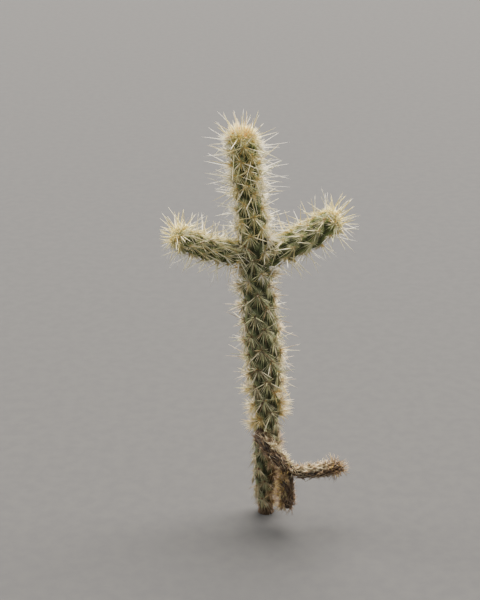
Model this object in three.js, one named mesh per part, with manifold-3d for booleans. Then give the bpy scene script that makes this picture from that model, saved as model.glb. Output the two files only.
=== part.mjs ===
// A young cholla cactus, rooted in level ground: an upright column of stem joints, two arms at its fork,
// and a dead limb that has broken over low on the front. The spines are not modelled here.
// Millimetres. +Z is up, +X is the side of the longer dead joint, and -Y is the front.
// The origin is the middle of the column's flat foot.

import * as THREE from 'three';
import { mergeVertices } from 'three/addons/utils/BufferGeometryUtils.js';
import Module from 'manifold-3d';

const wasm = await Module();
wasm.setup();

// Driving dimensions
const FORK_HEIGHT = 354; // top of the trunk, just above the arms
const NECK_HEIGHT = 406; // waist between the two joints above the fork
const TOP_HEIGHT = 476; // tip of the top joint
const SEAT_GAP = 0.3; // between one joint and the next
const RING_STEP = 5.4; // between the rings of a limb's surface
const DOME_RINGS = 3; // rings on a rounded end, short of its tip
const WOODY_FOOT = 60; // height over which the old foot's furrows deepen to their full depth
const WELD = 1e-4; // corners nearer than this are one corner

// Tubercles stand in eight steep spiral rows. Each is set a golden turn round from the one below it.
const ROWS = 8;
const GOLDEN_TURN = Math.PI * (3 - Math.sqrt(5));
const ROW_TURN = ROWS * GOLDEN_TURN - 6 * Math.PI; // what a row turns from one tubercle to the next
const CREST_BELOW = 0.62; // share of a tubercle's length that lies below its areole
const CREST_ABOVE = 0.4;
const CREST_WIDTH = 0.56; // half its width, as a share of the spacing between rows

// How far the patterns of the upper two joints are turned round from the trunk's
const UPPER_TURN = THREE.MathUtils.degToRad(160);
const TOP_TURN = THREE.MathUtils.degToRad(125);

// Stations up the column: x, y and height of the centre line, and the radius over the crests.
const COLUMN = [
  [0, 0, 0, 10.4],
  [-0.3, 0.2, 6, 9.1],
  [-0.7, 0.4, 15, 9.1],
  [-0.9, 0.7, 27, 10.8],
  [-0.6, 1.2, 45, 13.6],
  [0.2, 1.8, 70, 15.2],
  [0.7, 1.8, 95, 15.2],
  [0.4, 1.4, 114, 13.4],
  [0.3, 1, 133, 15.1],
  [-0.9, 0.6, 160, 15.8],
  [-4.4, -0.6, 210, 19],
  [-9, -1.6, 255, 18.6],
  [-13.2, -1.4, 303, 16.8],
  [-15, -0.8, 334, 16.8],
  [-17, -0.2, 362, 16.4],
  [-19.6, 0.6, 386, 15.5],
  [-22.2, 1, 406, 13.3],
  [-24.6, 1, 425, 14.6],
  [-26.9, 0.8, 447, 15],
  [-28.6, 0.6, 462, 14.6],
  [-29.8, 0.6, TOP_HEIGHT, 13.8],
];

// Stations along each limb, in the same form. Each starts inside the piece that carries it.
const LEFT_ARM = [
  [-16, 0, 331.5, 8],
  [-33, -3, 336.5, 12.2],
  [-60, -6, 341.5, 13.2],
  [-75, -9, 347, 13.2],
  [-91, -12.5, 355, 12.7],
  [-105, -16, 364.4, 12.1],
];
const RIGHT_ARM = [
  [-13, 0, 327, 8],
  [2, 2, 333, 13.8],
  [13, 5, 337.6, 14.9],
  [31, 9, 345.2, 15.4],
  [49, 13, 353, 15.4],
  [65, 16.5, 362.6, 14.8],
  [79, 19.5, 372, 13.8],
];
const DEAD_LIMB = [
  [-2, -2, 110, 7],
  [-7.5, -12, 110.5, 8],
  [-4, -20, 106, 8.4],
  [6, -25, 94, 8.2],
  [19, -28, 81.5, 8],
  [31, -29, 73, 7.4],
];
const DEAD_FAR_JOINT = [
  [28, -29, 74.5, 6.2],
  [34, -29, 71.5, 7],
  [48, -28.5, 70.5, 8.2],
  [62, -28, 72, 8.4],
  [76, -27.5, 74, 7.8],
  [90, -27, 76.5, 6.6],
];
const DEAD_HANGING_JOINT = [
  [23.5, -29, 77, 5.4],
  [23, -30, 65, 7.6],
  [23.5, -31, 47, 9.4],
  [24.5, -31.5, 34, 9],
  [25.5, -32, 23, 7.4],
];

// Colour and roughness of the surfaces
const FINISHES = {
  green: new THREE.MeshStandardMaterial({ color: 0x66714b, roughness: 0.6, metalness: 0 }),
  young: new THREE.MeshStandardMaterial({ color: 0x7d8a4e, roughness: 0.55, metalness: 0 }),
  dead: new THREE.MeshStandardMaterial({ color: 0x75604a, roughness: 0.9, metalness: 0 }),
};

// The distance along a limb of each of its stations. The column is measured by height.
function distances(stations, upright) {
  if (upright) return stations.map((station) => station[2]);
  const places = stations.map(([x, y, z]) => new THREE.Vector3(x, y, z));
  let along = 0;
  return places.map((place, i) => (along += i ? place.distanceTo(places[i - 1]) : 0));
}

// A limb: its line and radius as smooth functions of the distance along it, and how its tubercles are set.
function limb(stations, { rise, relief, sides, turn = 0, upright = false }) {
  const along = distances(stations, upright);
  const curve = new THREE.CubicInterpolant(along, stations.flat(), 4);
  return {
    length: along.at(-1),
    dome: stations.at(-1)[3],
    rise,
    relief,
    sides,
    turn,
    upright,
    at(distance) {
      const [x, y, z, radius] = curve.evaluate(distance);
      return { centre: new THREE.Vector3(x, y, z), radius };
    },
  };
}

// The directions across a limb: sections of the column are level, and the others are square to their line.
function crossAxes(stem, along) {
  if (stem.upright) return [new THREE.Vector3(1, 0, 0), new THREE.Vector3(0, 1, 0)];
  const ahead = stem.at(Math.min(along + 1, stem.length)).centre;
  const behind = stem.at(Math.max(along - 1, 0)).centre;
  const forward = ahead.sub(behind).normalize();
  const first = new THREE.Vector3(0, 1, 0).projectOnPlane(forward).normalize();
  return [first, new THREE.Vector3().crossVectors(forward, first)];
}

// How far up a tubercle a point of the surface lies, from 0 in the furrows to 1 at an areole.
function tubercleHeight(stem, along, angle) {
  const length = ROWS * stem.rise;
  const nearest = Math.round(along / stem.rise);
  const reach = Math.ceil(length / stem.rise);
  let height = 0;
  for (let k = nearest - reach; k <= nearest + reach; k++) {
    const above = (along - k * stem.rise) / length;
    const crestAngle = k * GOLDEN_TURN + stem.turn;
    const aside = THREE.MathUtils.euclideanModulo(angle - crestAngle + Math.PI, 2 * Math.PI) - Math.PI;
    const lengthways = above / (above > 0 ? CREST_ABOVE : CREST_BELOW);
    const sideways = (aside * ROWS) / (2 * Math.PI) / CREST_WIDTH;
    height = Math.max(height, 1 - lengthways ** 2 - sideways ** 2);
  }
  return height;
}

// How far the limb has closed in to its round tip, from 1 along its length to 0 at the tip.
function tipShare(stem, along) {
  const left = stem.length - along;
  return left >= stem.dome ? 1 : Math.sqrt(1 - (1 - left / stem.dome) ** 2);
}

// The radius of the surface in a given direction, between the furrows and the crests.
function surfaceRadius(stem, along, angle) {
  const footShare = stem.upright ? Math.min(1, along / WOODY_FOOT) : 1;
  const furrow = stem.relief * footShare * (1 - tubercleHeight(stem, along, angle));
  return (stem.at(along).radius - furrow) * tipShare(stem, along);
}

// Where the rings of a limb's surface lie, from one end to the other.
function ringPlaces(stem, from, to) {
  const domeStart = to < stem.length ? to : to - stem.dome;
  const count = Math.max(1, Math.round((domeStart - from) / RING_STEP));
  const rings = Array.from({ length: count + 1 }, (_, i) => from + ((domeStart - from) * i) / count);
  if (to < stem.length) return rings;
  for (let i = 1; i <= DOME_RINGS; i++) {
    rings.push(domeStart + stem.dome * Math.sin((i * Math.PI) / 2 / (DOME_RINGS + 1)));
  }
  return rings;
}

// A closed geometry as a solid that can be joined and cut, grown outwards by swell.
function toSolid(geometry, swell) {
  geometry.deleteAttribute('normal');
  geometry.deleteAttribute('uv');
  const merged = mergeVertices(geometry, WELD);
  merged.computeVertexNormals();
  const { position, normal } = merged.attributes;
  for (let i = 0; i < position.count; i++) {
    const corner = new THREE.Vector3().fromBufferAttribute(position, i);
    corner.addScaledVector(new THREE.Vector3().fromBufferAttribute(normal, i), swell);
    position.setXYZ(i, ...corner);
  }
  const corners = [];
  for (let i = 0; i < merged.index.count; i += 3) {
    const [a, b, c] = merged.index.array.slice(i, i + 3);
    if (a !== b && b !== c && c !== a) corners.push(a, b, c);
  }
  return new wasm.Manifold(
    new wasm.Mesh({
      numProp: 3,
      vertProperties: position.array,
      triVerts: new Uint32Array(corners),
    }),
  );
}

// The stretch of a limb between two distances, grown outwards by swell.
function stretch(stem, from = 0, to = stem.length, swell = 0) {
  const profile = [
    new THREE.Vector2(0, from),
    ...ringPlaces(stem, from, to).map((along) => new THREE.Vector2(1, along)),
    new THREE.Vector2(0, to),
  ];
  const geometry = new THREE.LatheGeometry(profile, stem.sides);
  const position = geometry.attributes.position;
  for (let i = 0; i < position.count; i++) {
    const { x: isRing, y: along } = profile[i % profile.length];
    const side = Math.floor(i / profile.length) % stem.sides;
    const twist = stem.turn + (ROW_TURN * along) / (ROWS * stem.rise);
    const angle = (side / stem.sides) * 2 * Math.PI + twist;
    const radius = isRing * surfaceRadius(stem, along, angle);
    const [first, second] = crossAxes(stem, along);
    const point = stem.at(along).centre;
    point.addScaledVector(first, radius * Math.cos(angle));
    point.addScaledVector(second, radius * Math.sin(angle));
    position.setXYZ(i, point.x, point.y, point.z);
  }
  return toSolid(geometry, swell);
}

function meshOf(name, solid, material) {
  const { vertProperties, triVerts } = solid.getMesh();
  const geometry = new THREE.BufferGeometry();
  geometry.setAttribute('position', new THREE.BufferAttribute(vertProperties, 3));
  geometry.setIndex(new THREE.BufferAttribute(triVerts, 1));
  geometry.computeVertexNormals();
  const mesh = new THREE.Mesh(geometry, material);
  mesh.name = name;
  return mesh;
}

// The column's joints, cut level at the foot, the fork and the neck
const trunkStem = limb(COLUMN, { rise: 3.2, relief: 2.5, sides: 32, upright: true });
const upperStem = limb(COLUMN, { rise: 2.8, relief: 2.4, sides: 32, turn: UPPER_TURN, upright: true });
const topStem = limb(COLUMN, { rise: 2.1, relief: 2.2, sides: 32, turn: TOP_TURN, upright: true });
const trunk = stretch(trunkStem, 0, FORK_HEIGHT);
const upper = stretch(upperStem, FORK_HEIGHT + SEAT_GAP, NECK_HEIGHT);
const top = stretch(topStem, NECK_HEIGHT + SEAT_GAP, TOP_HEIGHT);

// The limbs, each cut back to stand clear of what carries it
const grownTrunk = stretch(trunkStem, 0, FORK_HEIGHT, SEAT_GAP);
const leftArm = stretch(limb(LEFT_ARM, { rise: 2.05, relief: 2, sides: 24 })).subtract(grownTrunk);
const rightArm = stretch(limb(RIGHT_ARM, { rise: 2.6, relief: 2.3, sides: 24 })).subtract(grownTrunk);

const deadLimbStem = limb(DEAD_LIMB, { rise: 2.2, relief: 1.8, sides: 16 });
const farStem = limb(DEAD_FAR_JOINT, { rise: 2.2, relief: 1.8, sides: 16 });
const hangingStem = limb(DEAD_HANGING_JOINT, { rise: 2.2, relief: 1.8, sides: 16 });
const deadLimb = stretch(deadLimbStem).subtract(grownTrunk);
const grownDeadLimb = stretch(deadLimbStem, 0, deadLimbStem.length, SEAT_GAP);
const farJoint = stretch(farStem).subtract(grownDeadLimb);
const grownFarJoint = stretch(farStem, 0, farStem.length, SEAT_GAP);
const hangingJoint = stretch(hangingStem).subtract(grownDeadLimb).subtract(grownFarJoint);

const cactus = new THREE.Group();
cactus.add(
  meshOf('trunk', trunk, FINISHES.green),
  meshOf('upper_stem', upper, FINISHES.green),
  meshOf('top_joint', top, FINISHES.young),
  meshOf('left_arm', leftArm, FINISHES.young),
  meshOf('right_arm', rightArm, FINISHES.young),
  meshOf('dead_limb', deadLimb, FINISHES.dead),
  meshOf('dead_far_joint', farJoint, FINISHES.dead),
  meshOf('dead_hanging_joint', hangingJoint, FINISHES.dead),
);

export default cactus;
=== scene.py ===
"""A young cholla cactus in level ground: a column of three stem joints, an arm to each side below the top,
and a dead limb that has broken over in front of the foot. Skins, wool and spines grow on the joints of the
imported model. Lengths are millimetres until a mesh is made, and metres in the scene."""

import math

import bpy
import numpy as np
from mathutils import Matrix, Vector, noise


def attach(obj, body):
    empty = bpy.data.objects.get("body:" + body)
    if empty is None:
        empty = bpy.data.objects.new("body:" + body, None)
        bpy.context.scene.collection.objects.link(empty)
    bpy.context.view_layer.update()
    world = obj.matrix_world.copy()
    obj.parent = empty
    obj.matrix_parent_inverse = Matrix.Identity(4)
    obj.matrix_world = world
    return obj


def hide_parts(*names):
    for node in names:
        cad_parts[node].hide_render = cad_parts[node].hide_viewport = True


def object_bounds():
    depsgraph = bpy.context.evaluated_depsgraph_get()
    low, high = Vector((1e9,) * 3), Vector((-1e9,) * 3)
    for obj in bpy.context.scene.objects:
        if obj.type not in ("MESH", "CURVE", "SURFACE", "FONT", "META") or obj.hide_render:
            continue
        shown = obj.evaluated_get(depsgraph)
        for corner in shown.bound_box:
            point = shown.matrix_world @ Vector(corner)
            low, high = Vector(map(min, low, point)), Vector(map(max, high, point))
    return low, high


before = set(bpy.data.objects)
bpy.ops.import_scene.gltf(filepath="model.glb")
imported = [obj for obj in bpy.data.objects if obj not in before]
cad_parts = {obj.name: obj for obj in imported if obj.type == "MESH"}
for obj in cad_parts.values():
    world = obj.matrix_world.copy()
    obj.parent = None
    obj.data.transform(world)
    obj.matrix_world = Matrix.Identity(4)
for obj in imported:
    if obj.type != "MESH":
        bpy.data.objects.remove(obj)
cad_low, cad_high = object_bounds()
rng = np.random.default_rng(11)

MM = 0.001

FORK_HEIGHT = 354  # where the trunk ends, above the arms
NECK_HEIGHT = 406
TOP_HEIGHT = 476
SEAT_GAP = 0.3  # between one joint of the column and the next

# Stations up the column: x, y and height of its centre line, and the radius over the crests
COLUMN = [
    [0, 0, 0, 10.4],
    [-0.3, 0.2, 6, 9.1],
    [-0.7, 0.4, 15, 9.1],
    [-0.9, 0.7, 27, 10.8],
    [-0.6, 1.2, 45, 13.6],
    [0.2, 1.8, 70, 15.2],
    [0.7, 1.8, 95, 15.2],
    [0.4, 1.4, 114, 13.4],
    [0.3, 1, 133, 15.1],
    [-0.9, 0.6, 160, 15.8],
    [-4.4, -0.6, 210, 19],
    [-9, -1.6, 255, 18.6],
    [-13.2, -1.4, 303, 16.8],
    [-15, -0.8, 334, 16.8],
    [-17, -0.2, 362, 16.4],
    [-19.6, 0.6, 386, 15.5],
    [-22.2, 1, 406, 13.3],
    [-24.6, 1, 425, 14.6],
    [-26.9, 0.8, 447, 15],
    [-28.6, 0.6, 462, 14.6],
    [-29.8, 0.6, TOP_HEIGHT, 13.8],
]

# Stations along each limb, in the same form
LEFT_ARM = [
    [-16, 0, 331.5, 8],
    [-33, -3, 336.5, 12.2],
    [-60, -6, 341.5, 13.2],
    [-75, -9, 347, 13.2],
    [-91, -12.5, 355, 12.7],
    [-105, -16, 364.4, 12.1],
]
RIGHT_ARM = [
    [-13, 0, 327, 8],
    [2, 2, 333, 13.8],
    [13, 5, 337.6, 14.9],
    [31, 9, 345.2, 15.4],
    [49, 13, 353, 15.4],
    [65, 16.5, 362.6, 14.8],
    [79, 19.5, 372, 13.8],
]
DEAD_LIMB = [
    [-2, -2, 110, 7],
    [-7.5, -12, 110.5, 8],
    [-4, -20, 106, 8.4],
    [6, -25, 94, 8.2],
    [19, -28, 81.5, 8],
    [31, -29, 73, 7.4],
]
DEAD_FAR_JOINT = [
    [28, -29, 74.5, 6.2],
    [34, -29, 71.5, 7],
    [48, -28.5, 70.5, 8.2],
    [62, -28, 72, 8.4],
    [76, -27.5, 74, 7.8],
    [90, -27, 76.5, 6.6],
]
DEAD_HANGING_JOINT = [
    [23.5, -29, 77, 5.4],
    [23, -30, 65, 7.6],
    [23.5, -31, 47, 9.4],
    [24.5, -31.5, 34, 9],
    [25.5, -32, 23, 7.4],
]

# Tubercles stand in eight steep spiral rows. Each is set a golden turn round from the one below it.
ROWS = 8
GOLDEN_TURN = math.pi * (3 - math.sqrt(5))
ROW_TURN = ROWS * GOLDEN_TURN - 6 * math.pi  # along one row, from a tubercle to the next
# A tubercle's reach below, above and beside its areole, to the distance between two
CREST_BELOW = 0.62
CREST_ABOVE = 0.4
CREST_WIDTH = 0.56
NUDGE = 1e-6  # keeps a direction or a step from vanishing

SKIN_STEP = 0.9  # between neighbouring points of a skin
DOME_RINGS = 14
WOODY_FOOT = 60  # height over which the old foot's furrows deepen
SEAM_FADE = 6  # length over which the tubercles fade out at a seam
PITTING = 0.16  # a skin's fine unevenness, and its grain
PITTING_GRAIN = 3.5
BARK_TOP = 24  # height of the foot's bark, and the depth, width, stretch and sharpness of its cracks
BARK_DEPTH = 1.6
BARK_GRAIN = 2.2
BARK_STRETCH = (1, 1, 0.3)
BARK_SHARPNESS = 4
BARK_SEED = 5  # the cracks and the folds of dry skin run apart from the pitting
FOLD_SEED = 9

# The woody net that shows on dead joints: its ridges round the joint, the length of a mesh, and the ridges'
# height and sharpness to a dried tubercle's
NET_ROWS = 7
NET_PITCH = 12
NET_HEIGHT = 0.72
NET_SHARPNESS = 1.8
DRY_CREST_SHARPNESS = 1.6
SHRIVEL = 0.55  # how deep a dead joint has sunk in, how much deeper in its folds, and their grain
FOLD_DEPTH = 1.76
FOLD_GRAIN = 5.0
STUMP_LENGTH = 22  # of the dead limb, from the column, with knobs of scarred flesh
STUMP_SMOOTHING = 0.6
KNOB_SPACING = 3.2
KNOB_HEIGHT = 1.3
KNOB_STEEPNESS = 2.2

# How far the sky has bleached the top of each dead joint, how long before the tip that fades, and how soon
# it sets in as a side turns up
BLEACHED = {"dead_limb": 0.45, "dead_far_joint": 0.8, "dead_hanging_joint": 0}
BLEACH_FADE = 22
BLEACH_GAIN = 1.6

# Cork: round the foot, over the right side of the base, and thinly up the old column
FOOT_CORK_TOP = 15
SIDE_CORK = 0.62
SIDE_CORK_EDGE = -2
SIDE_CORK_BLEND = 10
SIDE_CORK_TOP = 115.2
SIDE_CORK_FADE = 72
OLD_CORK = 0.2
OLD_CORK_TOP = 330

# How young the skin is where a part starts and ends, and how late on it the change comes
YOUTHS = {"trunk": (0, 0.2, 1), "upper_stem": (0.2, 0.45, 1)}
GROWING_YOUTH = (0.45, 1, 2)

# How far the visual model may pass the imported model's box on each side, less a little
SPARE_SHARE = 0.03
SPARE = 9.0
GROUND_CLEARANCE = 1.8


def smooth(stations, along, at):
    """The stations' values at some distances, on smooth curves through them."""
    slopes = np.diff(stations, axis=0) / np.diff(along)[:, None]
    slopes = np.vstack([slopes[:1], slopes, slopes[-1:]])
    slopes = (slopes[1:] + slopes[:-1]) / 2
    after = np.clip(np.searchsorted(along, at, side="right"), 1, len(along) - 1)
    before = after - 1
    span = along[after] - along[before]
    p = (at - along[before]) / span
    terms = (
        (stations[before], 2 * p**3 - 3 * p**2 + 1),
        (slopes[before], span * (p**3 - 2 * p**2 + p)),
        (stations[after], 3 * p**2 - 2 * p**3),
        (slopes[after], span * (p**3 - p**2)),
    )
    return sum(weight[..., None] * values for values, weight in terms)


def unit(vectors):
    return vectors / np.linalg.norm(vectors, axis=-1, keepdims=True)


class Limb:
    """A stem joint: its centre line and radius, and how its tubercles are set."""

    def __init__(self, stations, rise, relief, start=0, end=None, turn=0):
        self.stations = np.array(stations, float)
        self.upright = stations is COLUMN  # measured by height
        steps = np.linalg.norm(np.diff(self.stations[:, :3], axis=0), axis=1)
        by_length = np.concatenate([[0], np.cumsum(steps)])
        self.along = self.stations[:, 2] if self.upright else by_length
        self.length = self.along[-1]
        self.start = start
        self.end = self.length if end is None else end
        self.has_tip = self.end == self.length
        self.dome = self.stations[-1, 3]
        self.rise = rise
        self.relief = relief
        self.turn = math.radians(turn)

    def line(self, along):
        """The centre and the radius over the crests."""
        values = smooth(self.stations, self.along, along)
        return values[..., :3], values[..., 3]

    def axes(self, along, angle):
        """The way ahead along the limb, told from 1 mm either side, and the way across it at an angle."""
        ahead = self.line(np.minimum(along + 1, self.length))[0]
        behind = self.line(np.maximum(along - 1, 0))[0]
        forward = unit(ahead - behind)
        if self.upright:
            first, second = np.array([[1, 0, 0], [0, 1, 0]])
        else:
            level = np.array([0, 1, 0])
            first = unit(level - forward * (forward @ level)[..., None])
            second = np.cross(forward, first)
        return forward, np.cos(angle)[..., None] * first + np.sin(angle)[..., None] * second

    def tip_share(self, along):
        """How far the limb has closed in to its round tip, from 1 along it to 0 at the tip."""
        left = np.clip((self.length - along) / self.dome, 0, 1)
        return np.sqrt(np.clip(1 - (1 - left) ** 2, 0, 1))

    def crest(self, along, angle):
        """How far up a tubercle a point lies, from 0 in the furrows to 1 at an areole."""
        length = ROWS * self.rise
        nearest = np.round(along / self.rise)
        height = np.zeros(np.broadcast(along, angle).shape)
        for step in range(-ROWS, ROWS + 1):
            k = nearest + step
            above = (along - k * self.rise) / length
            aside = np.mod(angle - self.turn - k * GOLDEN_TURN + math.pi, 2 * math.pi) - math.pi
            lengthways = above / np.where(above > 0, CREST_ABOVE, CREST_BELOW)
            sideways = aside * ROWS / (2 * math.pi) / CREST_WIDTH
            height = np.maximum(height, 1 - lengthways**2 - sideways**2)
        return height

    def point(self, along, angle, inset=0.0):
        """A place on the limb, sunk below its crests by the inset."""
        centre, radius = self.line(along)
        out = (radius - inset) * self.tip_share(along)
        return centre + out[..., None] * self.axes(along, angle)[1]

    def facing(self, along, angle):
        """The way out of the surface, and the way ahead along it."""
        forward, across = self.axes(along, angle)
        share = self.tip_share(along)[..., None]
        rest = np.sqrt(1 - share**2)
        return unit(across * share + forward * rest), unit(forward * share - across * rest + NUDGE)


LIMBS = {
    "trunk": Limb(COLUMN, 3.2, 2.5, 0, FORK_HEIGHT),
    "upper_stem": Limb(COLUMN, 2.8, 2.4, FORK_HEIGHT + SEAT_GAP, NECK_HEIGHT, turn=160),
    "top_joint": Limb(COLUMN, 2.1, 2.2, NECK_HEIGHT + SEAT_GAP, TOP_HEIGHT, turn=125),
    "left_arm": Limb(LEFT_ARM, 2.05, 2),
    "right_arm": Limb(RIGHT_ARM, 2.6, 2.3),
    "dead_limb": Limb(DEAD_LIMB, 2.2, 1.8),
    "dead_far_joint": Limb(DEAD_FAR_JOINT, 2.2, 1.8),
    "dead_hanging_joint": Limb(DEAD_HANGING_JOINT, 2.2, 1.8),
}
COLUMN_PARTS = ("trunk", "upper_stem", "top_joint")
DEAD_PARTS = ("dead_limb", "dead_far_joint", "dead_hanging_joint")


# Nodes of the materials


def colour(code):
    """A colour from its six hexadecimal digits."""
    shares = [int(code[i : i + 2], 16) / 255 for i in (0, 2, 4)]
    linear = [s / 12.92 if s <= 0.04045 else ((s + 0.055) / 1.055) ** 2.4 for s in shares]
    return (*linear, 1)


class Recipe:
    """A material's nodes, made by short calls that return an output."""

    def __init__(self, name):
        self.material = bpy.data.materials.new(name)
        self.material.use_nodes = True
        self.tree = self.material.node_tree
        self.shader = self.tree.nodes["Principled BSDF"]

    def feed(self, socket, value):
        """Links an input to another node's output, or sets it. A colour comes as its code."""
        if isinstance(value, bpy.types.NodeSocket):
            self.tree.links.new(value, socket)
        else:
            socket.default_value = colour(value) if isinstance(value, str) else value

    def add(self, kind, inputs=(), output=0, **settings):
        made = self.tree.nodes.new(kind)
        for key, value in settings.items():
            setattr(made, key, value)
        for key, value in dict(inputs).items():
            self.feed(made.inputs[key], value)
        return made.outputs[output]

    def attribute(self, name, output="Fac"):
        return self.add("ShaderNodeAttribute", output=output, attribute_name=name)

    def place(self):
        return self.add("ShaderNodeTexCoord", output="Object")

    def stretched(self, vector, share):
        """A place with its distance along the limb counted short."""
        return self.add("ShaderNodeVectorMath", {0: vector, 1: (1, 1, share)}, operation="MULTIPLY")

    def noise(self, vector, scale, detail=3.0, rough=0.55):
        inputs = {"Vector": vector, "Scale": scale, "Detail": detail, "Roughness": rough}
        return self.add("ShaderNodeTexNoise", inputs, output="Fac")

    def cells(self, vector, scale):
        return self.add("ShaderNodeTexVoronoi", {"Vector": vector, "Scale": scale}, output="Distance")

    def span(self, value, low, high, to_low=0, to_high=1):
        inputs = {"Value": value, "From Min": low, "From Max": high, "To Min": to_low, "To Max": to_high}
        return self.add("ShaderNodeMapRange", inputs, interpolation_type="SMOOTHSTEP")

    def combine(self, one, other, operation="ADD"):
        return self.add("ShaderNodeMath", {0: one, 1: other}, operation=operation)

    def mix(self, share, one, other):
        """A mix of two colours, on the node's sockets for colours."""
        return self.add("ShaderNodeMix", {0: share, 6: one, 7: other}, output=2, data_type="RGBA")

    def bump(self, height, depth, strength=1.0, below=None):
        inputs = {"Height": height, "Distance": depth, "Strength": strength}
        if below is not None:
            inputs["Normal"] = below
        return self.add("ShaderNodeBump", inputs, output="Normal")

    def finish(self, **inputs):
        for key, value in inputs.items():
            self.feed(self.shader.inputs[key.replace("_", " ")], value)
        return self.material


def skin_material():
    """Waxy green skin, darker in the furrows as painted shade, yellower on new growth, with corky brown where
    it is old.
    """
    recipe = Recipe("cactus_skin")
    rind = recipe.attribute("rind", "Vector")
    height = recipe.attribute("crest")
    cork = recipe.attribute("cork")
    youth = recipe.attribute("youth")
    mottle = recipe.noise(rind, 0.22, 5, 0.6)
    pores = recipe.cells(rind, 1.5)
    # Painted shade: the dark furrow colour, deepest where a tubercle is lowest; it also darkens random
    # mottles
    furrow_shade_and_mottle = recipe.mix(youth, "2f321b", "3a401e")
    flank = recipe.mix(youth, "5c6342", "68743a")
    crest = recipe.mix(youth, "727a58", "959d58")
    body = recipe.mix(recipe.span(height, 0, 0.6), furrow_shade_and_mottle, flank)
    body = recipe.mix(recipe.span(height, 0.5, 1), body, crest)
    body = recipe.mix(recipe.span(mottle, 0.42, 0.7, 0, 0.4), body, furrow_shade_and_mottle)
    body = recipe.mix(recipe.span(pores, 0, 0.16, 0.3, 0), body, crest)
    fibres = recipe.noise(recipe.stretched(rind, 0.22), 0.9, 6, 0.65)
    bark = recipe.mix(recipe.span(fibres, 0.35, 0.65), "2b2118", "67533d")
    corky = recipe.combine(cork, recipe.span(mottle, 0.3, 0.7, -0.3, 0.3))
    is_cork = recipe.span(corky, 0.42, 0.6)
    body = recipe.mix(is_cork, body, bark)
    roughness = recipe.span(recipe.combine(is_cork, mottle), 0.3, 1.5, 0.6, 0.92)
    wrinkles = recipe.noise(recipe.stretched(rind, 0.6), 1.6, 4, 0.6)
    normal = recipe.bump(wrinkles, 0.25 * MM, 0.5)
    normal = recipe.bump(recipe.combine(fibres, is_cork, "MULTIPLY"), 1.2 * MM, 0.8, normal)
    return recipe.finish(Base_Color=body, Roughness=roughness, Specular_IOR_Level=0.35, Normal=normal)


def husk_material():
    """Dried skin and woody lattice of the dead joints, with painted shade near black in its hollows."""
    recipe = Recipe("dry_husk")
    rind = recipe.attribute("rind", "Vector")
    height = recipe.attribute("crest")
    bleached = recipe.attribute("bleached")
    scarred = recipe.attribute("scarred")
    fibres = recipe.noise(recipe.stretched(rind, 0.25), 0.8, 6, 0.7)
    patches = recipe.noise(rind, 0.16, 3)
    worn = recipe.mix(recipe.span(fibres, 0.34, 0.66), "231810", "6a5138")
    grey = recipe.mix(recipe.span(fibres, 0.3, 0.7), "2a231d", "776b5e")
    body = recipe.mix(recipe.span(patches, 0.4, 0.62), worn, grey)
    paper = recipe.mix(recipe.span(fibres, 0.3, 0.65), "a08a64", "d8c8a0")
    body = recipe.mix(recipe.span(recipe.combine(bleached, patches), 0.85, 1.15), body, paper)
    red = recipe.mix(recipe.span(fibres, 0.35, 0.6), "2a1a12", "523728")
    body = recipe.mix(recipe.span(scarred, 0.2, 0.6), body, red)
    # Painted shade: near black in the hollows between the net's ridges and tubercles
    body = recipe.mix(recipe.span(height, 0.05, 0.6, 0.92, 0), body, "130c08")
    normal = recipe.bump(fibres, 1 * MM, 0.9)
    return recipe.finish(Base_Color=body, Roughness=0.92, Normal=normal)


def spine_material(name, one, other):
    """Papery sheath of a spine, with a faint fibre along it."""
    recipe = Recipe(name)
    place = recipe.place()
    clouds = recipe.noise(place, 160, 2)
    grain = recipe.noise(place, 2400, 2)
    body = recipe.mix(recipe.span(clouds, 0.35, 0.65), one, other)
    normal = recipe.bump(grain, 0.1 * MM, 0.3)
    return recipe.finish(Base_Color=body, Roughness=0.5, Normal=normal)


def wool_material(name, one, other):
    """Felt of an areole."""
    recipe = Recipe(name)
    place = recipe.place()
    tufts = recipe.noise(place, 1500, 5, 0.7)
    clouds = recipe.noise(place, 130, 2)
    body = recipe.mix(recipe.span(clouds, 0.35, 0.65), one, other)
    body = recipe.mix(recipe.span(tufts, 0.3, 0.6, 0.5, 0), body, "4a3522")
    normal = recipe.bump(tufts, 0.4 * MM, 0.9)
    return recipe.finish(Base_Color=body, Roughness=1, Sheen_Weight=0.25, Normal=normal)


# Meshes


def in_scene(name, data):
    """An object with some data, in the scene."""
    made = bpy.data.objects.new(name, data)
    bpy.context.scene.collection.objects.link(made)
    return made


def make_piece(name, points, faces, material, attributes=(), replaces=()):
    """A piece of the plant from points in millimetres."""
    mesh = bpy.data.meshes.new(name)
    mesh.from_pydata((np.asarray(points) * MM).tolist(), [], faces)
    mesh.shade_smooth()
    for key, values in dict(attributes).items():
        values = np.asarray(values, np.float32)
        kind, field = ("FLOAT_VECTOR", "vector") if values.ndim == 2 else ("FLOAT", "value")
        mesh.attributes.new(key, kind, "POINT").data.foreach_set(field, values.ravel())
    mesh.materials.append(material)
    piece = in_scene(name, mesh)
    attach(piece, "root")
    if replaces:
        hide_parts(*replaces)


def skin_grid(limb):
    """Distances and angles of a skin's rings, with the rings turned along the rows of tubercles."""
    dome_start = limb.end - limb.dome if limb.has_tip else limb.end
    count = round((dome_start - limb.start) / SKIN_STEP)
    along = np.linspace(limb.start, dome_start, count + 1)
    if limb.has_tip:
        turns = np.arange(1, DOME_RINGS) / DOME_RINGS * math.pi / 2
        along = np.concatenate([along, dome_start + limb.dome * np.sin(turns)])
    widest = limb.stations[:, 3].max()
    sides = ROWS * round(2 * math.pi * widest / SKIN_STEP / ROWS)
    side = np.arange(sides) * 2 * math.pi / sides
    angle = limb.turn + side[None, :] + ROW_TURN * along[:, None] / (ROWS * limb.rise)
    return np.repeat(along[:, None], sides, 1), angle


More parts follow.
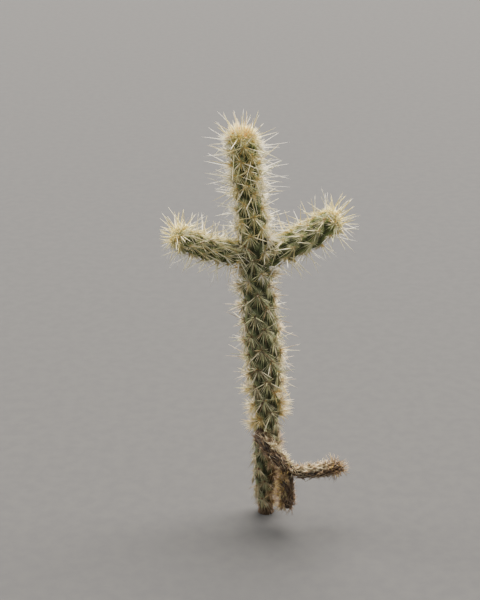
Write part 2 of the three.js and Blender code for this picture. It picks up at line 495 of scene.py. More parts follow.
def sampled(field, points):
    """The values of a chance field at some points."""
    values = [field(Vector(place)) for place in points.reshape(-1, 3).tolist()]
    return np.array(values).reshape(points.shape[:-1])


def wandering(points, scale, seed):
    """Smooth chance values from -1 to 1 over some points."""
    return sampled(noise.noise, points / scale + seed)


def knob_share(points):
    """Round knobs at chance places, from 0 between them to 1 on top."""
    gaps = sampled(lambda place: noise.voronoi(place)[0][0], points / KNOB_SPACING)
    return np.clip(1 - gaps**2 * KNOB_STEEPNESS, 0, 1)


def seam_share(limb, along):
    """How far the tubercles have faded, from 1 along a joint to 0 at a level cut, where the next one sits."""
    below = (along - limb.start) / SEAM_FADE if limb.start > 0 else 1
    above = 1 if limb.has_tip else (limb.end - along) / SEAM_FADE
    return np.clip(np.minimum(below, above), 0, 1)


def net_share(along, angle):
    """The woody net of a dead joint, from 0 in its meshes to 1 on its ridges."""
    turns = angle * NET_ROWS / (2 * math.pi)
    one = np.abs(np.mod(turns + along / NET_PITCH, 1) - 0.5)
    other = np.abs(np.mod(turns - along / NET_PITCH, 1) - 0.5)
    return 1 - 2 * np.minimum(one, other)


def skin_points(name, along, angle, seed):
    """The surface of a joint. A dead one is shrivelled inside its outline."""
    limb = LIMBS[name]
    crest = limb.crest(along, angle) * seam_share(limb, along)
    outline = limb.point(along, angle)
    if name in DEAD_PARTS:
        net = NET_HEIGHT * net_share(along, angle) ** NET_SHARPNESS
        crest = np.maximum(crest**DRY_CREST_SHARPNESS, net)
    foot_share = np.minimum(1, along / WOODY_FOOT) if limb.upright else 1.0
    inset = limb.relief * foot_share * (1 - crest)
    inset = inset + PITTING * (1 + wandering(outline, PITTING_GRAIN, seed))
    if name == "trunk":
        cracks = 1 - np.abs(wandering(outline * BARK_STRETCH, BARK_GRAIN, seed + BARK_SEED))
        inset = inset + BARK_DEPTH * np.clip(1 - along / BARK_TOP, 0, 1) * cracks**BARK_SHARPNESS
    if name in DEAD_PARTS:
        fold = np.abs(wandering(outline, FOLD_GRAIN, seed + FOLD_SEED))
        inset = inset + (1 - crest) * (SHRIVEL + FOLD_DEPTH * fold)
    if name == "dead_limb":
        stump = np.clip(1 - along / STUMP_LENGTH, 0, 1)
        inset = inset * (1 - STUMP_SMOOTHING * stump) + KNOB_HEIGHT * stump * (1 - knob_share(outline))
    return limb.point(along, angle, inset), crest


def ring_faces(rings, sides, closed_tip):
    """Quads between the rings, and a lid at each end, the last at a single point if the tip is closed."""
    faces = []
    for ring in range(rings - 1):
        low = ring * sides
        for side in range(sides):
            after = (side + 1) % sides
            faces.append((low + side, low + after, low + sides + after, low + sides + side))
    faces.append(tuple(range(sides - 1, -1, -1)))
    last = (rings - 1) * sides
    if closed_tip:
        faces.extend((last + side, last + (side + 1) % sides, rings * sides) for side in range(sides))
    else:
        faces.append(tuple(last + side for side in range(sides)))
    return faces


def copies(faces, count, step):
    """The faces of so many like shapes, each with so many points."""
    return [tuple(i + k * step for i in face) for k in range(count) for face in faces]


def cork_at(limb, points):
    """How corky the skin is: most at the woody foot, then in patches up the old column."""
    if not limb.upright:
        return np.zeros(points.shape[:-1])
    height = points[..., 2]
    foot = np.clip(1 - height / FOOT_CORK_TOP, 0, 1)
    side = np.clip((points[..., 0] - SIDE_CORK_EDGE) / SIDE_CORK_BLEND, 0, 1)
    side = side * np.clip((SIDE_CORK_TOP - height) / SIDE_CORK_FADE, 0, 1)
    old = OLD_CORK * np.clip(1 - height / OLD_CORK_TOP, 0, 1)
    return np.clip(foot + SIDE_CORK * side + old, 0, 1)


def live_shades(name, limb, along, points):
    """How corky and how young the skin of a live joint is: 0 on the old column to 1 at the growing tips."""
    share = (along - limb.start) / (limb.end - limb.start)
    oldest, youngest, lateness = YOUTHS.get(name, GROWING_YOUTH)
    youth = oldest + (youngest - oldest) * share**lateness
    return {"cork": cork_at(limb, points), "youth": youth}


def dead_shades(name, limb, along, angle):
    """How bleached a dead joint is, and the scar on the stump of the dead limb."""
    upward = limb.facing(along, angle)[0][..., 2]
    fade = np.clip((limb.end - along) / BLEACH_FADE, 0, 1)
    bleached = BLEACHED[name] * fade * np.clip(upward * BLEACH_GAIN, 0, 1)
    scarred = 1 - along / STUMP_LENGTH if name == "dead_limb" else np.zeros(along.shape)
    return {"bleached": bleached, "scarred": scarred}


def grow_skin(name, material, seed):
    """The skin that takes the place of a joint's solid, with what its colours depend on at each point."""
    limb = LIMBS[name]
    along, angle = skin_grid(limb)
    points, crest = skin_points(name, along, angle, seed)
    radius = limb.line(along)[1]
    rind = np.stack([np.cos(angle) * radius, np.sin(angle) * radius, along], -1)
    dead = name in DEAD_PARTS
    more = dead_shades(name, limb, along, angle) if dead else live_shades(name, limb, along, points)
    rings, sides = along.shape
    points = points.reshape(-1, 3)
    rind = rind.reshape(-1, 3)
    shades = {key: values.ravel() for key, values in {"crest": crest, **more}.items()}
    if limb.has_tip:
        points = np.vstack([points, limb.line(limb.length)[0]])
        rind = np.vstack([rind, [0, 0, limb.length]])
        shades = {key: np.append(values, values[-sides:].mean()) for key, values in shades.items()}
    faces = ring_faces(rings, sides, limb.has_tip)
    make_piece(name + "_skin", points, faces, material, {"rind": rind, **shades}, [name])


# Areoles

LOWEST_AREOLE = 7
AREOLE_DEPTH = 0.3  # below the crest of its tubercle
END_CLEARANCE = 0.5  # from a joint's ends to its first and last areole
DRY_HEIGHT = 104  # under the dead limb, the column's right side has dried
DRY_SIDE = 3
FOOT_HEIGHT = 17  # below this the column is dry all round
# Above the dead limb and under the arms, the sides are thickly bristled: the least and greatest height
SHAGGY_BANDS = {"shaggy": (96, 168), "sheltered": (285, 345)}
SHAGGY_SIDE = 0.35  # how far such an areole faces right or left
SHORN_HEIGHT = 126  # below this, the right side has only short dull spines
FRONT_FACING = -0.35  # areoles that face forwards more than this are in the shade, and their duller spine colours are painted shade
SIDE_FACING = 0.25  # between the two, the young stem's areoles are at its edge, with the palest spines as painted light against their shade
FACING_DOWN = -0.35  # how far down an areole faces that is under an arm
AGES = {"trunk": "old", "upper_stem": "grown", "top_joint": "grown", "left_arm": "arm", "right_arm": "arm"}
AREOLE_SIZES = {"tip": 0.72, "core": 0.6}


def trunk_plan(height, facing_right):
    """How the spines grow at a place on the trunk."""
    if height < SHORN_HEIGHT and facing_right > SHAGGY_SIDE:
        return "low"
    for plan, (lowest, highest) in SHAGGY_BANDS.items():
        if lowest < height < highest and abs(facing_right) > SHAGGY_SIDE:
            return plan
    return "low" if height < DRY_HEIGHT else "trunk"


class Areole:
    """A spine cushion: where it is, the way out of the skin and ahead along the limb, and its age."""

    def __init__(self, limb_name, along, angle, age):
        limb = LIMBS[limb_name]
        at, turn = np.array(along), np.array(angle)
        self.limb_name = limb_name
        self.body = body_of_limb(limb_name)
        self.place = limb.point(at, turn, AREOLE_DEPTH)
        self.out, self.ahead = limb.facing(at, turn)
        self.aside = np.cross(self.out, self.ahead)
        self.share = (along - limb.start) / (limb.end - limb.start)
        self.age = age
        self.size = AREOLE_SIZES.get(age, 1.0)
        self.at_tip = self.size < 1
        self.on_column = self.body == "column"
        self.in_front = self.out[1] < FRONT_FACING
        self.at_edge = age == "grown" and FRONT_FACING <= self.out[1] < SIDE_FACING
        self.under = not self.on_column and self.out[2] < FACING_DOWN
        height = self.place[2]
        low = limb_name == "trunk" and height < DRY_HEIGHT
        dead = limb_name in DEAD_PARTS
        self.dry = dead or low and (height < FOOT_HEIGHT or self.place[0] > DRY_SIDE)
        self.plan = trunk_plan(height, self.out[0]) if limb_name == "trunk" else limb_name
        live_wool = "young" if age != "old" or self.plan in SHAGGY_BANDS else "old"
        self.wool = "dry" if dead else live_wool
        beyond = self.place + self.out * AREOLE_OFFSET
        self.in_the_open = height >= LOWEST_AREOLE and not inside_others(beyond, self.body)

    def toward(self, tilt, turn):
        """The direction so many degrees off the way out, turned round it from the way ahead."""
        tilt, turn = math.radians(tilt), math.radians(turn)
        level = self.ahead * math.cos(turn) + self.aside * math.sin(turn)
        return self.out * math.cos(tilt) + level * math.sin(tilt)


APEX_AREOLES = 18  # round a growing tip
APEX_CORE = 6  # the innermost of them, on the top joint
APEX_SPREAD = math.radians(56)
BALL_SPACING = 3.0
AREOLE_OFFSET = 1.5  # of the place outside an areole that must be clear of other limbs
SPINE_FIT = 0.96  # of another limb's radius: a spine that comes nearer is cut short


def areole_places(name, limb):
    """Distance and angle of each areole of a limb, and its age."""
    first = math.ceil((limb.start + END_CLEARANCE) / limb.rise)
    last = math.floor((limb.end - END_CLEARANCE) / limb.rise)
    age = AGES.get(name, "dry")
    places = [(k * limb.rise, limb.turn + k * GOLDEN_TURN, age) for k in range(first, last + 1)]
    if limb.has_tip and name not in DEAD_PARTS:
        for k in range(APEX_AREOLES):
            polar = APEX_SPREAD * math.sqrt((k + 0.5) / APEX_AREOLES)
            left = limb.dome * (1 - math.cos(polar))
            age = "core" if name == "top_joint" and k < APEX_CORE else "tip"
            places.append((limb.length - left, k * GOLDEN_TURN, age))
    return places


def body_of_limb(name):
    return "column" if name in COLUMN_PARTS else name


def limb_spheres():
    """Centres and radii of balls that fill each body, to tell what is inside it."""
    balls = {}
    for name, limb in LIMBS.items():
        along = np.arange(limb.start, limb.end, BALL_SPACING)
        centre, radius = limb.line(along)
        rows = np.column_stack([centre, radius * limb.tip_share(along)])
        balls.setdefault(body_of_limb(name), []).extend(rows)
    return {body: np.array(rows) for body, rows in balls.items()}


SPHERES = limb_spheres()


def inside_others(points, own, fit=1.0):
    """Which points lie inside a body other than their own."""
    hit = np.zeros(points.shape[:-1], bool)
    for body, rows in SPHERES.items():
        if body == own:
            continue
        offsets = points[..., None, :] - rows[:, :3]
        distance = np.linalg.norm(offsets, axis=-1)
        hit |= (distance < rows[:, 3] * fit).any(-1)
    return hit


def grow_areoles():
    areoles = [Areole(name, *row) for name, limb in LIMBS.items() for row in areole_places(name, limb)]
    return [areole for areole in areoles if areole.in_the_open]


# Spines

SPINE_KINDS = {
    "white": ("f8f4e6", "efe8d2"),
    "cream": ("f1e8c4", "e6dbac"),
    "lemon": ("eedf86", "dcc668"),
    "rosy": ("ecdabc", "d8c2a0"),
    "straw": ("decf92", "cab87a"),
    "fresh": ("d3d39c", "b9b984"),
    "olive": ("b0ac88", "8f8b6a"),
    "golden": ("e4c674", "d0ab56"),
    "peach": ("d8902c", "c07c20"),
    "tan": ("aa8f66", "8d7552"),
    "dry_pale": ("dfd2b2", "c6b692"),
    "dry_brown": ("86694a", "624b35"),
}

# A live areole's spines are of four ranks: long ones that stand out, a fan that hangs down over the skin, a
# tuft of middling ones, and a radial star of thin ones. Each row has, for each in that order, their number
# and least and greatest length.
LIVE_PLANS = {
    "low": ((0, 0, 0), (28, 12, 21), (10, 3.5, 5), (26, 5, 9)),
    "shaggy": ((4, 14, 22), (16, 12, 19), (80, 9, 20), (28, 8, 13)),
    "sheltered": ((4, 14, 24), (16, 12, 19), (84, 9, 21), (24, 8, 13)),
    "trunk": ((4, 18, 30), (24, 14, 26), (64, 7, 14), (26, 7, 11)),
    "upper_stem": ((5, 19, 33), (20, 12, 20), (48, 7, 15), (26, 7, 11)),
    "top_joint": ((5, 24, 40), (17, 10, 18), (54, 8, 18), (16, 6, 10)),
    "left_arm": ((5, 20, 34), (15, 12, 22), (18, 5, 8), (13, 6, 10)),
    "right_arm": ((5, 20, 34), (17, 12, 22), (22, 5, 9), (15, 6, 10)),
}
# The least and greatest width, and the share of it on the shaded front, round a tip and under an arm
WIDTHS = {"long": (0.9, 1.25), "fan": (0.52, 0.78), "middle": (0.5, 0.76), "radial": (0.42, 0.62)}
FRONT_WIDTH = 0.9
TIP_WIDTH = 1.25
UNDER_WIDTH = 1.2
# Shares of the number and of the length, round the column's tip and round an arm's
TIP_NUMBERS = {"long": 0.24, "fan": 0.8, "middle": 0.42, "radial": 0.6}
ARM_TIP_NUMBERS = {"long": 0.4, "fan": 0.55, "middle": 0.42, "radial": 0.6}
TIP_LENGTHS = {"long": 0.82, "middle": 0.82}
ARM_TIP_LENGTHS = {"long": 0.95, "fan": 0.66, "middle": 0.9}
UNDER_LENGTH = 0.6  # of all but the long spines under an arm
SPARSE_TUFT = 0.25  # of a tuft's spines, on the shaded front and under the arms
UNDER_SPIKES = 0.7  # of the long spines, under an arm and on its front
FRONT_SPIKES = 0.6

# How often each kind comes up in a rank, by the areole's age. Those that stand out are the palest.
KIND_SHARES = dict(
    long=dict(
        old=dict(white=1, cream=3, rosy=4, straw=1),
        grown=dict(white=5, cream=4),
        arm=dict(white=1.5, cream=5, straw=3),
        tip=dict(white=1, cream=4, lemon=4),
        core=dict(lemon=3, golden=3),
    ),
    middle=dict(
        old=dict(cream=4, straw=3, rosy=4, golden=1),
        grown=dict(white=4, cream=5, straw=1.5),
        arm=dict(straw=3, lemon=5, fresh=2, cream=1),
        tip=dict(lemon=6, straw=2, cream=2, golden=1),
        core=dict(golden=4, lemon=4, peach=1.2),
    ),
    fan=dict(
        old=dict(cream=2, straw=5, fresh=2, tan=1),
        grown=dict(cream=4, straw=5, fresh=1, golden=0.5),
        arm=dict(lemon=4, straw=4, fresh=2, cream=1),
        tip=dict(lemon=5, fresh=3, golden=1, cream=2),
        core=dict(golden=3, lemon=3, peach=0.8),
    ),
    foot=dict(
        old=dict(golden=1, tan=3, dry_brown=3),
        grown=dict(golden=3, straw=3),
        arm=dict(straw=4, golden=1, tan=1),
        tip=dict(golden=1, straw=5),
        core=dict(golden=2, peach=1),
    ),
)
# The same on the shaded front, in duller kinds that are painted shade, for the long spines and for all the
# finer ones
FRONT_SHADE_SHARES = dict(
    long=dict(
        old=dict(fresh=4, cream=3, rosy=1, tan=2),
        grown=dict(cream=3, straw=3, fresh=2),
        arm=dict(white=1, cream=5, straw=2, fresh=2),
        tip=dict(lemon=3, cream=3),
    ),
    fine=dict(
        old=dict(fresh=4, olive=3, tan=2.5, cream=1.5, dry_brown=1.5),
        grown=dict(fresh=4, straw=3, cream=3, golden=1),
        arm=dict(fresh=4, straw=2, olive=2, cream=4),
        tip=dict(fresh=4, lemon=4, golden=1, cream=2),
    ),
)
LOW_SHARES = dict(olive=5, tan=4, fresh=1)
# The thickly bristled places: the tufts' spines and those that lie on the skin. Under the arms the sheltered
# ones are paler, partly as painted light against the arms' shade
TUFT_SHARES = {
    "shaggy": dict(golden=3, straw=3, cream=3, tan=1, rosy=1),
    "sheltered": dict(white=4, cream=4, golden=1.2, rosy=1),
}
LYING_SHARES = {
    "shaggy": dict(golden=2, straw=4, fresh=2, tan=1),
    "sheltered": dict(cream=3, straw=3, fresh=2, golden=0.8),
}
UNDER_SHARES = dict(straw=3, tan=1.5, cream=4)

# Tilt off the way out and turn from the way ahead of each long spine, in degrees
LONG_SPREADS = {
    "old": ((58, 180), (40, 112), (40, -112), (10, 20)),
    "grown": ((58, 180), (40, 112), (40, -112), (10, 20), (30, -40)),
    "arm": ((64, 180), (50, 145), (50, -145), (12, 20), (34, -60)),
    "under": ((46, 10), (30, -60), (36, 150), (14, 90)),
    "tip": ((14, 40), (36, 170), (36, -80)),
    "core": ((8, 0), (24, 120), (24, -120)),
}
FRONT_LEAN = 18  # how much further over the skin they lean on the front
TILT_CHANCE = 9  # in their tilt, and in their turn
TURN_CHANCE = 20
TUFT_TILTS = (5, 62)
# The least tilt of the spines that lie over the skin, the same low on the column, and the greatest
FAN_TILT = 66
RADIAL_TILT = 62
LOW_TILT = 76
FLATTEST = 86
# How far either way from straight down the fan spreads, in degrees
FAN_TURNS = {"old": 66, "grown": 62, "arm": 56, "tip": 70, "core": 80}
JITTER = 0.4  # of a spine's place in the fan or the star, to the way from one to the next

# Where a spine is thick and thin, in shares of its length and of its width, and how many sides it has
FORMS = {
    "long": ([(0.14, 0.6), (0.17, 0.98), (0.4, 0.84), (0.75, 0.46), (1, 0)], 6),
    "foot": ([(0, 0.9), (0.1, 1.08), (0.18, 1.04), (0.21, 0)], 6),
    "middle": ([(0, 1), (0.5, 0.8), (1, 0)], 4),
    "radial": ([(0, 1), (0.55, 0.8), (1, 0)], 3),
    "bristle": ([(0, 1), (1, 0)], 3),
}
STEEP = 0.8  # a spine that points further up or down has its sides set by the level


def sheaf_mesh(form, rows):
    """Tapering tubes with a lid at the foot and a point at the tip, one for each row of Spines."""
    profile, sides = FORMS[form]
    share, thick = np.array(profile).T
    base, direction, length, width, bend = np.split(np.array(rows), [3, 6, 7, 8], axis=1)
    helper = np.where(np.abs(direction[:, 2:]) > STEEP, [1, 0, 0], [0, 0, 1])
    across = unit(np.cross(direction, helper))
    other = np.cross(direction, across)
    spine = base[:, None] + direction[:, None] * (length * share)[..., None]
    spine = spine + bend[:, None] * (share**2)[:, None]
    turn = np.arange(sides) * 2 * math.pi / sides
    ring = across[:, None] * np.cos(turn)[:, None] + other[:, None] * np.sin(turn)[:, None]
    radius = (width * thick[:-1] / 2)[:, :, None, None]
    rings = spine[:, :-1, None] + radius * ring[:, None]
    count, levels = rings.shape[:2]
    points = np.concatenate([rings.reshape(count, -1, 3), spine[:, -1:]], 1).reshape(-1, 3)
    return points, copies(ring_faces(levels, sides, True), count, levels * sides + 1)


def reach_limits():
    """The lowest and highest corner that a spine's tip may reach."""
    low, high = np.array([cad_low, cad_high]) / MM
    spare = (high - low) * SPARE_SHARE + SPARE
    low, high = low - spare, high + spare
    low[2] = GROUND_CLEARANCE
    return low, high


LIMITS = reach_limits()
LEAST_LENGTH = 3.5
BENDS = {"long": 0.008, "middle": 0.03, "radial": 0.05}  # most of a tip's way aside, to the spine's length
SPINE_DEPTH = 0.4  # of a spine's foot under its areole, and how much deeper it is for each square mm off it
SPINE_SINKING = 0.12
FEET_SPREAD = 0.5  # how widely the feet of live and of dry spines are scattered
DRY_FEET_SPREAD = 1.6
CLEAR_SHARES = np.array([0.3, 0.5, 0.7, 0.85, 1.0])  # places along a spine that must be clear of other limbs
CUT_SHORT = 0.9  # of the way to the first that isn't


def room_share(base, tip):
    """How much of a spine fits inside the limits."""
    low, high = LIMITS
    step = tip - base
    room = np.where(step > 0, high - base, base - low)
    share = room / np.maximum(np.abs(step), NUDGE)
    return float(np.clip(share.min(), 0, 1))


def choose(shares):
    """One of the names, by their shares."""
    chances = np.array(list(shares.values()), float)
    return list(shares)[rng.choice(len(chances), p=chances / chances.sum())]


class Spines:
    """All the spines of the plant, as rows of numbers in sheaves by form and kind."""

    def __init__(self):
        self.sheaves = {}

    def add(self, form, kind, base, direction, length, width, bend):
        row = (*base, *direction, length, width, *bend)
        self.sheaves.setdefault((form, kind), []).append(row)

    def grow(self, areole, form, kind, direction, length, width, foot=None):
        """One spine, if it has room and doesn't run into another limb."""
        spread = DRY_FEET_SPREAD if areole.dry else FEET_SPREAD
        aside, ahead = rng.normal(0, spread * areole.size, 2)
        sunk = SPINE_DEPTH + (aside**2 + ahead**2) * SPINE_SINKING
        base = areole.place + areole.aside * aside + areole.ahead * ahead - areole.out * sunk
        length = length * room_share(base, base + direction * length)
        points = base + direction * length * CLEAR_SHARES[:, None]
        blocked = inside_others(points, areole.body, SPINE_FIT)
        if blocked.any():
            length = length * CLEAR_SHARES[blocked.argmax()] * CUT_SHORT
        if length < LEAST_LENGTH:
            return
        bend = np.cross(direction, rng.normal(0, 1, 3)) * length * rng.uniform(0, BENDS[form])
        self.add(form, kind, base, direction, length, width, bend)
        if foot:
            self.add("foot", foot, base, direction, length, width, bend)


def kinds_of(areole, rank):
    """How often each kind comes up in one rank of a live areole."""
    if areole.plan == "low":
        return LOW_SHARES
    if areole.plan in SHAGGY_BANDS and rank != "long":
        return (TUFT_SHARES if rank == "middle" else LYING_SHARES)[areole.plan]
    # Painted light: the palest kinds at the young stem's edge, and for the long spines and tips under an arm,
    # against their shade
    if areole.at_edge or areole.under and (rank == "long" or areole.at_tip):
        return KIND_SHARES["long"]["grown"]
    if areole.under:
        return UNDER_SHARES
    # Painted shade: duller kinds on the front, which faces away from the lamps
    front = FRONT_SHADE_SHARES["long" if rank == "long" else "fine"]
    if areole.in_front and areole.age in front:
        return front[areole.age]
    return KIND_SHARES["fan" if rank == "radial" else rank][areole.age]


# A rank's number, length and width, to those on the lit side of a limb away from its tip


def number_share(areole, rank):
    if rank == "middle" and (areole.in_front or areole.under):
        return areole.size * SPARSE_TUFT
    if rank == "long" and areole.under:
        return UNDER_SPIKES
    if rank == "long" and areole.in_front and areole.age == "arm":
        return FRONT_SPIKES
    if areole.at_tip:
        return (TIP_NUMBERS if areole.on_column else ARM_TIP_NUMBERS)[rank]
    return 1


def length_share(areole, rank):
    share = UNDER_LENGTH if areole.under and rank != "long" else 1
    if areole.at_tip:
        share *= (TIP_LENGTHS if areole.on_column else ARM_TIP_LENGTHS).get(rank, 1)
    return share


def width_share(areole, rank):
    if rank == "long" and areole.under:
        return UNDER_WIDTH
    if rank != "long" and areole.at_tip:
        return TIP_WIDTH
    return FRONT_WIDTH if areole.in_front else 1


# The tilt and turn of a spine, by its place in its rank, in degrees


def long_aim(areole, index, count):
    spread = "under" if areole.under else areole.age
    tilt, turn = LONG_SPREADS[spread][index]
    lean = FRONT_LEAN if areole.in_front else 0
    return abs(tilt + lean + rng.normal(0, TILT_CHANCE)), turn + rng.normal(0, TURN_CHANCE)


def fan_aim(areole, index, count):
    share = (index + 0.5 + rng.uniform(-JITTER, JITTER)) / count
    least = LOW_TILT if areole.plan == "low" else FAN_TILT
    return rng.uniform(least, FLATTEST), 180 + FAN_TURNS[areole.age] * (2 * share - 1)


def middle_aim(areole, index, count):
    return rng.uniform(*TUFT_TILTS), rng.uniform(0, 360)


def radial_aim(areole, index, count):
    least = LOW_TILT if areole.plan == "low" else RADIAL_TILT
    return rng.uniform(least, FLATTEST), (index + rng.uniform(-JITTER, JITTER)) * 360 / count


AIMS = {"long": long_aim, "fan": fan_aim, "middle": middle_aim, "radial": radial_aim}


def grow_live_spines(spines, areole):
    """The four ranks of a live areole."""
    for (rank, aim), (most, shortest, longest) in zip(AIMS.items(), LIVE_PLANS[areole.plan]):
        count = round(most * number_share(areole, rank))
        shrink = length_share(areole, rank)
        thickness = width_share(areole, rank)
        kinds = kinds_of(areole, rank)
        form = "radial" if rank == "fan" else rank
        for index in range(count):
            tilt, turn = aim(areole, index, count)
            direction = areole.toward(tilt, turn)
            foot = choose(KIND_SHARES["foot"][areole.age]) if rank == "long" else None
            length = rng.uniform(shortest, longest) * shrink
            width = rng.uniform(*WIDTHS[rank]) * thickness
            spines.grow(areole, form, choose(kinds), direction, length, width, foot)


PALE_SHARES = dict(dry_pale=4, straw=3, cream=2, tan=1)
STRAND_SHARES = dict(tan=3, dry_brown=3, dry_pale=1.5)
BROWN_SHARES = dict(dry_brown=6, tan=1.5, dry_pale=0.2)
GOLDEN_SHARES = dict(tan=4, golden=1.2, straw=0.8, dry_brown=2.5)
DUSTY_SHARES = dict(dry_pale=2.5, tan=4)
DULL_SHARES = dict(tan=4, dry_brown=4, straw=1)
RUSTY_SHARES = dict(tan=3, dry_brown=4, golden=1.5)
DARK_STRAND_SHARES = dict(tan=2, dry_brown=5, dry_pale=1.2)

# The dry growth of each place: the number, least and greatest length and kinds of the spines that stand up,
# then the number and kinds of the strands that lie along the joint.
DRY_GROWTHS = {
    "limb top": (34, 5, 10, PALE_SHARES, 8, STRAND_SHARES),
    "limb side": (2, 5, 9, STRAND_SHARES, 8, DARK_STRAND_SHARES),
    "far tip": (24, 7, 15, RUSTY_SHARES, 8, STRAND_SHARES),
    "far top": (20, 4, 8, DUSTY_SHARES, 9, DUSTY_SHARES),
    "far side": (2, 4, 8, STRAND_SHARES, 9, STRAND_SHARES),
    "hanging left": (56, 6, 13, GOLDEN_SHARES, 8, GOLDEN_SHARES),
    "hanging right": (5, 5, 9, BROWN_SHARES, 12, BROWN_SHARES),
    "column side": (64, 8, 15, DULL_SHARES, 10, STRAND_SHARES),
    "foot": (16, 3, 7, BROWN_SHARES, 14, STRAND_SHARES),
}
LIMB_TOP = (0.62, 0.1, 0.78)  # the way out of the dead limb's bleached side, and how near it areoles face
LIMB_TOP_FACING = 0.62
LIMB_TOP_START = 0.42  # how far along the dead limb that side starts, and the far joint its tip
FAR_TIP_START = 0.72
FAR_TOP_FACING = 0.5


def dry_place(areole):
    """Which dry growth an areole has."""
    if areole.limb_name == "dead_limb":
        faces_up = areole.out @ LIMB_TOP > LIMB_TOP_FACING
        return "limb top" if faces_up and areole.share > LIMB_TOP_START else "limb side"
    if areole.limb_name == "dead_far_joint":
        if areole.share > FAR_TIP_START:
            return "far tip"
        return "far top" if areole.out[2] > FAR_TOP_FACING else "far side"
    if areole.limb_name == "dead_hanging_joint":
        return "hanging left" if areole.out[0] < 0 else "hanging right"
    return "column side" if areole.place[0] > DRY_SIDE else "foot"


# Tilts, lengths and widths of the dry spines that stand up and of the strands
STANDING_TILTS = (15, 80)
STANDING_WIDTHS = (0.45, 0.75)
STRAND_TILTS = (76, 92)
STRAND_LENGTHS = (8, 16)
STRAND_WIDTHS = (0.5, 0.85)
STRAND_TURN = 32  # how far off the way along a joint its strands lie, in degrees


def grow_dry_spines(spines, areole):
    """Dry spines: matted ones that stand up, and strands flat along the joint."""
    standing, shortest, longest, kinds, strands, strand_kinds = DRY_GROWTHS[dry_place(areole)]
    for _ in range(standing):
        direction = areole.toward(rng.uniform(*STANDING_TILTS), rng.uniform(0, 360))
        length, width = rng.uniform(shortest, longest), rng.uniform(*STANDING_WIDTHS)
        spines.grow(areole, "middle", choose(kinds), direction, length, width)
    for _ in range(strands):
        turn = rng.choice((0, 180)) + rng.normal(0, STRAND_TURN)
        direction = areole.toward(rng.uniform(*STRAND_TILTS), turn)
        length, width = rng.uniform(*STRAND_LENGTHS), rng.uniform(*STRAND_WIDTHS)
        spines.grow(areole, "middle", choose(strand_kinds), direction, length, width)


BRISTLES = 30
BRISTLE_KINDS = {"old": "tan", "core": "golden", "dry": "dry_brown"}  # and straw at all other ages
BRISTLE_LENGTHS = (1.6, 3.8)
BRISTLE_WIDTH = 0.2
BRISTLE_TILT = 34
BRISTLE_DEPTH = 0.3
# Where the tuft is ahead of the areole's middle, and how widely its bristles stand ahead and aside
TUFT_AHEAD = 0.6
TUFT_LENGTH = 0.7
TUFT_WIDTH = 0.6


def grow_bristles(spines, areole):
    """The tuft of short barbed bristles over an areole's upper edge."""
    kind = "golden" if areole.plan in SHAGGY_BANDS else BRISTLE_KINDS.get(areole.age, "straw")
    for _ in range(int(BRISTLES * areole.size)):
        direction = areole.toward(abs(rng.normal(0, BRISTLE_TILT)), rng.uniform(0, 360))
        base = areole.place + areole.ahead * rng.normal(TUFT_AHEAD, TUFT_LENGTH)
        base = base + areole.aside * rng.normal(0, TUFT_WIDTH) - areole.out * BRISTLE_DEPTH
        length = rng.uniform(*BRISTLE_LENGTHS) * areole.size
        length = length * room_share(base, base + direction * length)
        spines.add("bristle", kind, base, direction, length, BRISTLE_WIDTH, (0, 0, 0))


WOOL_RINGS = 5
WOOL_SIDES = 12
WOOL_LENGTH = 2.0
WOOL_WIDTH = 1.5
WOOL_HEIGHT = 1.5
WOOL_TOP = 1.1
WOOL_DEPTH = 0.5
WOOL_LUMPS = 0.12
WOOL_COLOURS = {"young": ("d0b680", "b89a64"), "old": ("6b4129", "4c2c1c"), "dry": ("8a7353", "6a543a")}


def wool_mesh(areoles):
    """A little domed pad of felt for each areole."""
    polar = np.arange(WOOL_RINGS)[:, None, None] / WOOL_RINGS * math.pi / 2
    turn = np.arange(WOOL_SIDES)[:, None] * 2 * math.pi / WOOL_SIDES
    points = []
    for areole in areoles:
        lumps = 1 + rng.uniform(-WOOL_LUMPS, WOOL_LUMPS, (WOOL_RINGS, WOOL_SIDES, 1))
        across = areole.ahead * np.cos(turn) * WOOL_LENGTH + areole.aside * np.sin(turn) * WOOL_WIDTH
        rise = areole.out * (WOOL_HEIGHT * np.sin(polar) - WOOL_DEPTH)
        dome = (across * np.cos(polar) * lumps + rise).reshape(-1, 3)
        points.append(areole.place + np.vstack([dome, areole.out * WOOL_TOP]) * areole.size)
    pad = ring_faces(WOOL_RINGS, WOOL_SIDES, True)
    return np.vstack(points), copies(pad, len(points), len(points[0]))


def build_wool(areoles):
    for wool, colours in WOOL_COLOURS.items():
        points, faces = wool_mesh([areole for areole in areoles if areole.wool == wool])
        name = "wool_" + wool
        make_piece(name, points, faces, wool_material(name, *colours))


def build_spines(areoles):
    """Grows all spines and bristles, and joins each form and kind into a piece."""
    spines = Spines()
    for areole in areoles:
        grow_spines = grow_dry_spines if areole.dry else grow_live_spines
        grow_spines(spines, areole)
        grow_bristles(spines, areole)
    materials = {kind: spine_material("spine_" + kind, *codes) for kind, codes in SPINE_KINDS.items()}
    for (form, kind), rows in spines.sheaves.items():
        points, faces = sheaf_mesh(form, rows)
        make_piece(f"spines_{form}_{kind}", points, faces, materials[kind])


def build_skins():
    skin = skin_material()
    husk = husk_material()
    for seed, name in enumerate(LIMBS):
        if name in DEAD_PARTS:
            grow_skin(name, husk, seed)
        else:
            grow_skin(name, skin, seed)


# Camera, floor and light

CAMERA_PITCH = math.radians(22)
CAMERA_DISTANCE = 1600
CAMERA_TARGET = (-31.85, 0, 278.79)
CAMERA_SENSOR = 36  # along the picture's longer side
CAMERA_LENS = 83.478
FLOOR_SIZE = 16.0
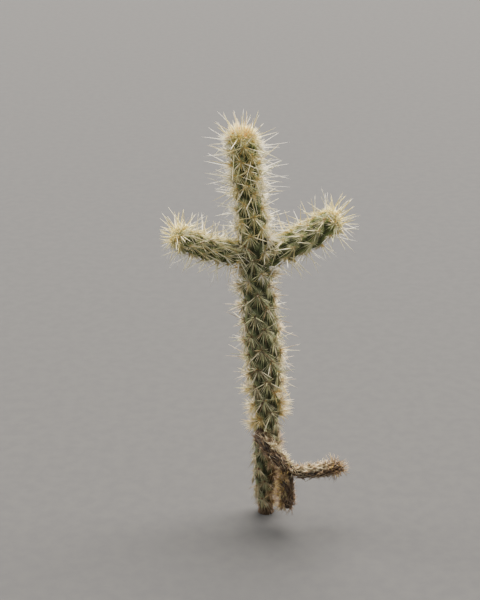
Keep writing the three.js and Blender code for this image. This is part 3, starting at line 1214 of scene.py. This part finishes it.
# The way from the plant to each lamp, its strength, its spread in degrees and its tint
LAMPS = {
    "light_behind": ((0.2, 0.8, 1.35), 14, 50, "fff7ec"),
    "light_right": ((1, 0.4, 0.55), 5, 30, "fff7ec"),
    "light_left": ((-1, 0.4, 0.55), 4, 30, "fff7ec"),
    "light_front": ((-0.6, -1, 0.9), 0.2, 80, "f4f7ff"),
}


def build_camera():
    data = bpy.data.cameras.new("camera")
    data.sensor_width = CAMERA_SENSOR
    data.lens = CAMERA_LENS
    camera = in_scene("camera", data)
    back = Vector((0, -math.cos(CAMERA_PITCH), math.sin(CAMERA_PITCH)))
    camera.location = (Vector(CAMERA_TARGET) + back * CAMERA_DISTANCE) * MM
    camera.rotation_euler = (math.pi / 2 - CAMERA_PITCH, 0, 0)
    bpy.context.scene.camera = camera


def build_floor():
    half = FLOOR_SIZE / 2
    mesh = bpy.data.meshes.new("floor")
    corners = [(-half, -half, 0), (half, -half, 0), (half, half, 0), (-half, half, 0)]
    mesh.from_pydata(corners, [], [(0, 1, 2, 3)])
    recipe = Recipe("floor")
    grain = recipe.noise(recipe.place(), 60, 4)
    body = recipe.mix(recipe.span(grain, 0.3, 0.7), "3a3a3b", "3e3e3e")
    mesh.materials.append(recipe.finish(Base_Color=body, Roughness=0.95))
    floor = in_scene("floor", mesh)


def build_lamps():
    """Broad soft lamps, far off."""
    for name, (back, strength, spread, tint) in LAMPS.items():
        data = bpy.data.lights.new(name, "SUN")
        data.energy = strength
        data.angle = math.radians(spread)
        data.color = colour(tint)[:3]
        lamp = in_scene(name, data)
        lamp.rotation_euler = Vector(back).to_track_quat("Z", "Y").to_euler()


def build_sky():
    world = bpy.data.worlds.new("world")
    world.use_nodes = True
    background = world.node_tree.nodes["Background"]
    background.inputs["Color"].default_value = colour("d4d9de")
    background.inputs["Strength"].default_value = 0.85
    bpy.context.scene.world = world


build_camera()
build_floor()
build_lamps()
build_sky()
build_skins()
areoles = grow_areoles()
build_wool(areoles)
build_spines(areoles)
